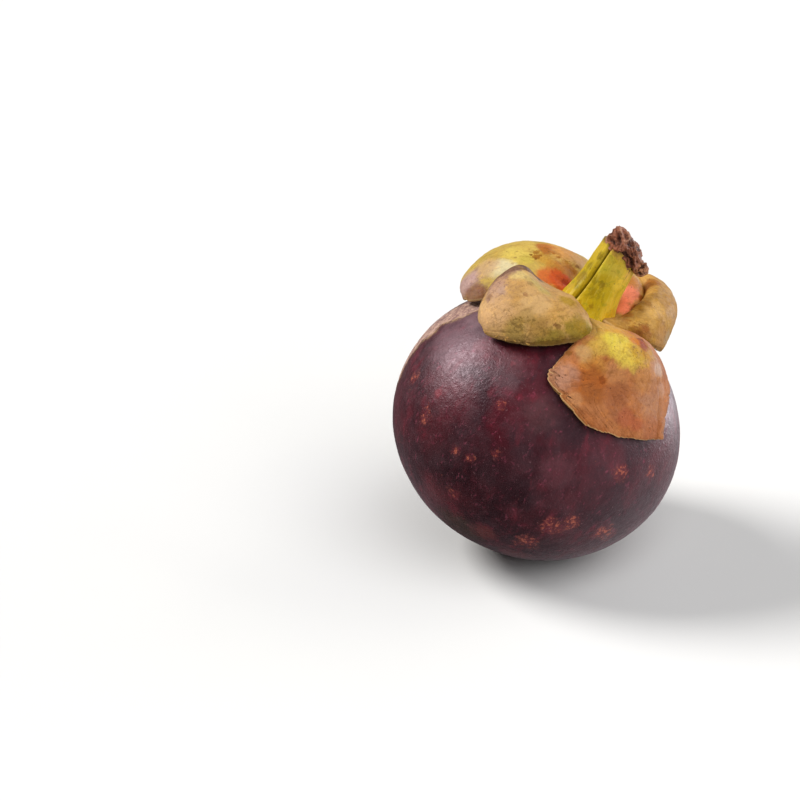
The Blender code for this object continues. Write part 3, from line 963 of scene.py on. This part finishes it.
# Dry flakes that stand off a sepal's margin: across, along, length and width in millimetres, and
# their turn over the sepal in degrees, 0 being towards its tip.
FLAKES = {
    "sepal_left": (
        (0.80, 0.86, 1.2, 0.5, 70),
        (0.88, 0.81, 1.5, 0.35, 110),
        (0.94, 0.75, 1.7, 0.55, 165),
        (0.99, 0.69, 1.0, 0.4, -20),
        (0.84, 0.79, 0.7, 0.4, 30),
    ),
}


def make_flakes(name):
    """Small torn slivers of a sepal's own skin, each a tapered closed shape."""
    points, faces, count = [], [], 0
    ways, quads = quad_globe(10)
    for across, along, length, width, turn in FLAKES[name]:
        here = sepal_place(name, across, along)
        ahead = sepal_place(name, across, along + 0.01) - here
        ahead /= np.linalg.norm(ahead)
        up = here / np.linalg.norm(here)
        aside = np.cross(up, ahead)
        turn = math.radians(turn)
        line = ahead * math.cos(turn) + aside * math.sin(turn)
        flat = np.cross(up, line)
        slim = 1 - 0.6 * ways[:, 0] ** 2
        curl = 0.18 * length * ways[:, 0] ** 2
        spread = ways[:, [0]] * length / 2 * line + (ways[:, 1] * slim * width / 2)[:, None] * flat
        points.append(here + spread + (0.16 * ways[:, 2] + curl - 0.08)[:, None] * up)
        faces.append(quads + count)
        count += len(ways)
    points, faces = np.concatenate(points), np.concatenate(faces)
    return make_piece(name.split("_")[1] + "_flakes", points, faces, flake_look(), name)


def flake_look():
    if "flakes" in bpy.data.materials:
        return bpy.data.materials["flakes"]
    look = Look("flakes")
    grain = look.noise(0.8, 4.0, 0.7, seed=7.0)
    colour = look.mix(look.step(grain, 0.38, 0.62), shade("a8803f"), shade("6a5028"))
    roughness = look.step(grain, 0.3, 0.7, 0.55, 0.7)
    normal = look.relief(look.noise(0.4, 3.0, 0.6, seed=8.0), 0.05, 0.6)
    return look.finish(colour, roughness, normal, Specular_IOR_Level=0.2)


# ---------------------------------------------------------------- the stem

STEM_STEPS = 88
STEM_FOOT_HEIGHT = 26.0
STEM_LENGTH = 15.4
STEM_TOP_RADIUS = 4.1
STEM_GROOVES = ((-130, 1.4, 5), (-30, 0.35, 13), (55, 0.8, 12), (146, 0.8, 12))


def stem_surface(way):
    """Directions of a ball moved to the stalk's surface, and how far along it they are."""
    polar = np.arccos(np.clip(way[:, 2], -1, 1))
    turn = np.arctan2(way[:, 1], way[:, 0])
    along = np.clip(1.5 - polar / (math.pi / 2), 0, 1)
    rim = np.minimum(1, np.sin(polar) / math.sin(math.pi / 4)) ** 0.7
    radius = STEM_TOP_RADIUS + 0.7 * (1 - along) + 2.3 * (1 - along) ** 5
    twist = turn - math.radians(6) * along
    groove = np.zeros(len(turn))
    for place, depth, width in STEM_GROOVES:
        off = angle_between(twist, math.radians(place))
        groove = np.maximum(groove, depth * bump(0, math.radians(width), off))
        radius -= depth * (1 - 0.55 * along) * bump(0, math.radians(width), off)
        radius += 0.25 * bump(0, math.radians(9), np.abs(off) - math.radians(2.3 * width))
    x, y = rim * radius * np.cos(turn), 0.94 * rim * radius * np.sin(turn)
    slant = 0.50 * np.maximum(x, -1.2)
    point = np.stack([x - 1.65 + 1.25 * along, y, STEM_FOOT_HEIGHT + along * (STEM_LENGTH - slant)], 1)
    fibres = noise(np.stack([turn * 5.5, along * 2.6, along * 0], 1), 1.0, 71)
    rough = 0.06 * fibres + 0.10 * noise(point, 3.2, 72) + 0.04 * layered_noise(point, 1.0, 2, 73)
    point[:, :2] += way[:, :2] * rough[:, None]
    return point, along, groove


def make_stem():
    """The stalk, swelling into the calyx at its foot and grooved along its sides."""
    ways, faces = quad_globe(STEM_STEPS)
    points, along, groove = stem_surface(ways)
    values = {"along": along, "groove": groove}
    return make_piece("stalk", points, faces, stem_look(), "stem", values)


# Blotches on the stalk: how far along it, turn about it, radius, colour and strength.
STEM_BLOTCHES = (
    (0.79, -139, 0.8, "806a04", 0.80),
    (0.48, -150, 0.9, "7c6412", 0.80),
    (0.33, -144, 0.8, "786600", 0.80),
    (0.42, -158, 1.3, "8c7220", 0.80),
    (0.60, -152, 1.1, "826e12", 0.80),
    (0.74, -100, 1.4, "c2ae38", 0.85),
    (0.25, -164, 1.0, "b09232", 0.80),
    (0.13, -157, 0.9, "b89a36", 0.80),
    (0.95, -107, 0.9, "ad8439", 0.80),
    (0.82, -108, 1.2, "b8a030", 0.80),
    (0.97, -86, 1.0, "b38c33", 0.80),
    (0.68, -109, 1.2, "bca82a", 0.80),
    (0.80, -34, 1.2, "e4b84a", 0.85),
    (0.80, -75, 1.3, "bca234", 0.80),
    (0.51, -113, 0.8, "82700e", 0.65),
    (0.51, -90, 0.8, "7c620a", 0.70),
    (0.66, -44, 1.5, "d8b430", 0.85),
    (0.45, -66, 1.3, "ba9f12", 0.80),
    (0.51, -40, 1.2, "ba9e14", 0.80),
    (0.21, -88, 0.6, "865e04", 0.65),
    (0.38, -98, 1.0, "947a06", 0.80),
    (0.33, -77, 1.1, "b69a04", 0.80),
    (0.14, -113, 0.9, "a6760e", 0.80),
    (0.15, -42, 1.3, "cc9e04", 0.85),
    (0.21, -17, 1.0, "c7901b", 0.60),
    (0.09, -19, 0.8, "7a5200", 0.85),
    (0.09, -80, 0.8, "c8a60c", 0.80),
)


def stem_place(along, turn):
    """The point of the stalk's surface this far along it, at this turn about it in degrees."""
    polar, turn = (1.5 - along) * math.pi / 2, math.radians(turn)
    return stem_surface(directions(polar, turn)[None])[0][0]


def stem_look():
    look = Look("stalk")
    along = look.value("along")
    patchy = look.noise(2.6, 5.0, 0.62, 0.4, seed=1.0)
    fibres = look.noise(0.7, 4.0, 0.62, 0.3, vector=look.stretched((1, 1, 0.12)), seed=3.0)
    colour = look.mix(look.step(patchy, 0.36, 0.64), shade("bea21c"), shade("b09614"))
    colour = look.paint(colour, look.step(along, 0.45, 0.10), 0.85, "b8980c")
    colour = look.paint(colour, look.step(along, 0.10, 0.0), 0.7, "9a6a0c")
    # Painted light: the stalk's +X side, turned to the right in view, is painted lighter as if lit from there.
    around = look.add("ShaderNodeSeparateXYZ", {0: look.place}, "X")
    painted_light_side = look.calc("MULTIPLY_ADD", look.wander, 1.5, around)
    colour = look.paint(colour, look.step(painted_light_side, 0.2, 2.6), 0.85, "d4ae30")
    colour = look.paint(colour, look.step(along, 0.55, 0.85), 0.55, "c4a634")
    for far, turn, size, code, strength in STEM_BLOTCHES:
        colour = look.paint(colour, look.spot(stem_place(far, turn), size, 0.9, 1.5), strength, code)
    green = look.noise(1.8, 4.0, 0.66, 0.8, seed=5.0)
    colour = look.paint(colour, look.step(green, 0.54, 0.66), 0.42, "7c8018")
    colour = look.paint(colour, look.step(fibres, 0.54, 0.68), 0.40, "d4bc4a")
    colour = look.paint(colour, look.step(fibres, 0.44, 0.30), 0.50, "7a6a14")
    blots = look.noise(1.0, 5.0, 0.7, 0.6, seed=15.0)
    colour = look.paint(colour, look.step(blots, 0.57, 0.66), 0.36, "5f5410")
    frost = look.noise(0.5, 4.0, 0.75, seed=19.0)
    colour = look.paint(colour, look.step(frost, 0.55, 0.70), 0.30, "d8cc6a")
    # Painted shade: the grooves are painted darker by their depth.
    colour = look.paint(colour, look.step(look.value("groove"), 0.5, 1.2), 0.65, "4e4308")
    colour = look.paint(colour, look.dots(0.8, 0.15, 0.25, 1.4), 0.7, "5a421c")
    frayed = look.calc("MULTIPLY_ADD", look.wander, 0.35, along)
    colour = look.paint(colour, look.step(frayed, 0.90, 1.0), 0.8, "6e5228")
    roughness = look.step(patchy, 0.3, 0.7, 0.36, 0.50)
    strands = look.relief(fibres, 0.22, 0.6)
    normal = look.relief(look.noise(0.6, 4.0, 0.6, seed=9.0), 0.12, 0.6, strands)
    return look.finish(colour, roughness, normal, Specular_IOR_Level=0.2)


# Lumps of the stalk's torn end: centre, half-sizes along the slant, front to back and across it,
# all in millimetres, and the slant in degrees.
STEM_LUMPS = (
    ((-0.7, -0.2, 41.7), (4.0, 4.1, 2.5), -38),
    ((1.9, -0.3, 40.8), (3.3, 3.6, 1.9), -54),
    ((4.6, -1.1, 39.5), (1.5, 1.7, 1.4), -60),
)


def make_stem_end():
    """The dry, torn wood where the fruit came off its branch."""
    for number, (centre, half, slant) in enumerate(STEM_LUMPS):
        ways, faces = quad_globe(64 if number < 2 else 40)
        turn = math.radians(slant)
        along = np.array([math.cos(turn), 0, math.sin(turn)])
        across = np.array([-math.sin(turn), 0, math.cos(turn)])
        sideways = np.array([0, 1, 0])
        crumple = 1.14 + 0.18 * noise(ways * 4, 2.6, 81 + number)
        crumple -= 0.46 * np.abs(noise(ways * (4, 3.4, 4) + number * 9, 2.3, 84))
        crumple -= 0.13 * np.abs(noise(ways * 4 + number * 7, 1.0, 86))
        crumple += 0.03 * noise(ways * 4, 0.5, 87)
        spread = ways * crumple[:, None]
        points = np.array(centre) + sum(
            spread[:, [k]] * half[k] * axis for k, axis in enumerate((along, sideways, across))
        )
        values = {"crumple": crumple}
        make_piece(f"stalk_end_{number + 1}", points, faces, stem_end_look(), "stem", values)


def stem_end_look():
    if "stalk_end" in bpy.data.materials:
        return bpy.data.materials["stalk_end"]
    look = Look("stalk_end")
    crumple = look.value("crumple")
    grain = look.noise(0.9, 5.0, 0.7, 0.8, seed=2.0)
    broad = look.noise(2.6, 3.0, 0.6, seed=4.0)
    colour = look.mix(look.step(grain, 0.35, 0.68), shade("6a3a26"), shade("945a40"))
    colour = look.paint(colour, look.step(broad, 0.50, 0.62), 0.50, "92502f")
    colour = look.paint(colour, look.spot((4.9, -1.6, 39.0), 1.9, 0.9, 1.2), 0.70, "b8825c")
    # Painted shade: a dark spot in a crease of the torn end.
    colour = look.paint(colour, look.spot((0.3, -2.2, 43.6), 1.5, 0.9, 1.2), 0.60, "3c1c12")
    colour = look.paint(colour, look.spot((3.2, -2.0, 42.2), 1.3, 0.9, 1.2), 0.50, "8e5e48")
    shreds = look.noise(0.9, 4.0, 0.7, 1.2, vector=look.stretched((1, 1, 0.35)), seed=12.0)
    colour = look.paint(colour, look.step(shreds, 0.50, 0.38), 0.55, "341810")
    # Painted shade: the crevices, where crumple is low, are painted dark.
    colour = look.paint(colour, look.step(crumple, 1.03, 0.86), 0.88, "2a120c")
    # The ridges are paler, partly their own pale edges and partly painted highlight.
    colour = look.paint(colour, look.step(crumple, 1.08, 1.18), 0.50, "bc8e70")
    roughness = look.step(grain, 0.3, 0.7, 0.55, 0.75)
    normal = look.relief(look.noise(0.45, 5.0, 0.7, 0.6, seed=6.0), 0.22, 0.8)
    return look.finish(colour, roughness, normal, Specular_IOR_Level=0.35)


# ---------------------------------------------------------------- the stigma

ROSETTE_LOBES = 6
ROSETTE_RADIUS = 6.0
ROSETTE_LIFT = 0.7


def make_rosette():
    """The flat woody remains of the flower's stigma, a ring of wedges opposite the stem."""
    for lobe in range(ROSETTE_LOBES):
        ways, faces = quad_globe(24)
        middle = TAU * (lobe + 0.5) / ROSETTE_LOBES
        half_turn = TAU / ROSETTE_LOBES * 0.45
        flat = np.sign(ways) * np.abs(ways) ** 0.6
        out = np.clip((flat[:, 0] + 1) / 2, 0, 1)
        turn = middle + flat[:, 1] * half_turn * (0.75 + 0.25 * out)
        reach = ROSETTE_RADIUS * (0.10 + 0.86 * out) * (1 - 0.10 * flat[:, 1] ** 4)
        seat = np.stack([reach * np.cos(turn), reach * np.sin(turn), np.full(len(turn), lobe)], 1)
        height = 0.05 + (ROSETTE_LIFT - 0.1) * (flat[:, 2] + 1) / 2
        height += 0.06 * layered_noise(seat, 1.4, 3, 91) * (flat[:, 2] > 0)
        polar = math.pi - reach / POLE_RADIUS
        points = directions(polar, turn) * (skin_radius(polar, turn) + height)[:, None]
        outward = faces[:, ::-1]
        name = f"stigma_lobe_{lobe + 1}"
        make_piece(name, points, outward, rosette_look(), "stigma_rosette", {"out": out})


def rosette_look():
    if "stigma" in bpy.data.materials:
        return bpy.data.materials["stigma"]
    look = Look("stigma")
    grain = look.noise(1.1, 5.0, 0.68, 0.5, seed=2.0)
    colour = look.mix(look.step(grain, 0.35, 0.65), shade("4a281d"), shade("744433"))
    colour = look.paint(colour, look.step(look.value("out"), 0.75, 1.0), 0.6, "8a3a2a")
    roughness = look.step(grain, 0.3, 0.7, 0.5, 0.7)
    normal = look.relief(look.noise(0.5, 5.0, 0.65, seed=4.0), 0.15, 0.7)
    return look.finish(colour, roughness, normal, Specular_IOR_Level=0.4)


# ---------------------------------------------------------------- the stage

FLOOR_REACH = 5.0
KEY_FROM = (-107, 43)
SIDE_FROM = (106, 22)
RIM_FROM = (134, 4)
FRONT_FROM = (28, 48)
PHOTO_WIDTH = 800
PIXELS_PER_MM = 146.5 / EQUATOR_RADIUS
CAMERA_ELEVATION = 26
CAMERA_DISTANCE = 546
# How far the fruit's centre is right of and below the middle of the picture, in millimetres.
FRUIT_RIGHT, FRUIT_DOWN = 27.8, 4.9


def way_from(azimuth, elevation):
    """The unit vector towards a place at this azimuth and elevation, 0 being in front at -Y."""
    azimuth, elevation = math.radians(azimuth), math.radians(elevation)
    level = math.cos(elevation)
    return Vector((math.sin(azimuth) * level, -math.cos(azimuth) * level, math.sin(elevation)))


def turned_from(thing, way):
    thing.rotation_mode = "QUATERNION"
    thing.rotation_quaternion = way.to_track_quat("Z", "Y")


def make_floor():
    material = Look("floor")
    grain = material.noise(60, 2.0)
    colour = material.mix(material.step(grain, 0.3, 0.7), shade("d2d2d2"), shade("d4d4d3"))
    roughness = material.step(grain, 0.3, 0.7, 0.80, 0.85)
    material.finish(colour, roughness, material.relief(grain, 0.001))
    mesh = bpy.data.meshes.new("floor")
    corners = [(x * FLOOR_REACH, y * FLOOR_REACH, 0) for x, y in ((-1, -1), (1, -1), (1, 1), (-1, 1))]
    mesh.from_pydata(corners, [], [(0, 1, 2, 3)])
    mesh.materials.append(material.material)
    floor = bpy.data.objects.new("floor", mesh)
    bpy.context.scene.collection.objects.link(floor)
    floor.visible_glossy = False


def make_light(name, place, strength, spread, colour):
    """A far, soft light: its strength as of a sun, and its spread in degrees."""
    light = bpy.data.lights.new(name, "SUN")
    light.energy = strength
    light.angle = math.radians(spread)
    light.color = colour
    lamp = bpy.data.objects.new(name, light)
    turned_from(lamp, way_from(*place))
    bpy.context.scene.collection.objects.link(lamp)
    return lamp


def make_studio():
    make_floor()
    make_light("key", KEY_FROM, 3.6, 26, (1.0, 0.985, 0.96))
    make_light("side", SIDE_FROM, 0.9, 55, (1, 0.99, 0.97))
    front = make_light("front", FRONT_FROM, 2.0, 60, (1, 1, 1))
    front.visible_glossy = False
    rim = make_light("rim", RIM_FROM, 2.2, 42, (1, 0.97, 1))
    rim.visible_diffuse = False
    world = bpy.data.worlds.new("studio")
    world.use_nodes = True
    nodes, links = world.node_tree.nodes, world.node_tree.links
    nodes["Background"].inputs["Color"].default_value = (0.98, 0.98, 1.0, 1)
    apart = nodes.new("ShaderNodeSeparateXYZ")
    links.new(nodes.new("ShaderNodeTexCoord").outputs["Generated"], apart.inputs[0])
    grade = nodes.new("ShaderNodeMapRange")
    grade.interpolation_type = "SMOOTHSTEP"
    for key, value in {"From Min": -0.35, "From Max": 0.75, "To Min": 0.02, "To Max": 0.60}.items():
        grade.inputs[key].default_value = value
    links.new(apart.outputs["X"], grade.inputs["Value"])
    seen = nodes.new("ShaderNodeMath")
    seen.operation = "MAXIMUM"
    links.new(grade.outputs["Result"], seen.inputs[0])
    links.new(nodes.new("ShaderNodeLightPath").outputs["Is Camera Ray"], seen.inputs[1])
    links.new(seen.outputs[0], nodes["Background"].inputs["Strength"])
    bpy.context.scene.world = world


def make_camera():
    """The photograph's view: from the front, a little above."""
    back = way_from(0, CAMERA_ELEVATION)
    up = Vector((0, math.sin(math.radians(CAMERA_ELEVATION)), math.cos(math.radians(CAMERA_ELEVATION))))
    aim = (Vector(CENTRE) - Vector((FRUIT_RIGHT, 0, 0)) + up * FRUIT_DOWN) * MM
    camera = bpy.data.objects.new("camera", bpy.data.cameras.new("camera"))
    camera.data.sensor_width = 36
    camera.data.lens = 36 * CAMERA_DISTANCE * PIXELS_PER_MM / PHOTO_WIDTH
    camera.location = aim + back * CAMERA_DISTANCE * MM
    turned_from(camera, back)
    bpy.context.scene.collection.objects.link(camera)
    bpy.context.scene.camera = camera


make_fruit()
for sepal in SEPALS:
    make_sepal(sepal)
for sepal in FLAKES:
    make_flakes(sepal)
make_stem()
make_stem_end()
make_rosette()
make_studio()
make_camera()
bpy.context.scene.view_settings.view_transform = "Standard"
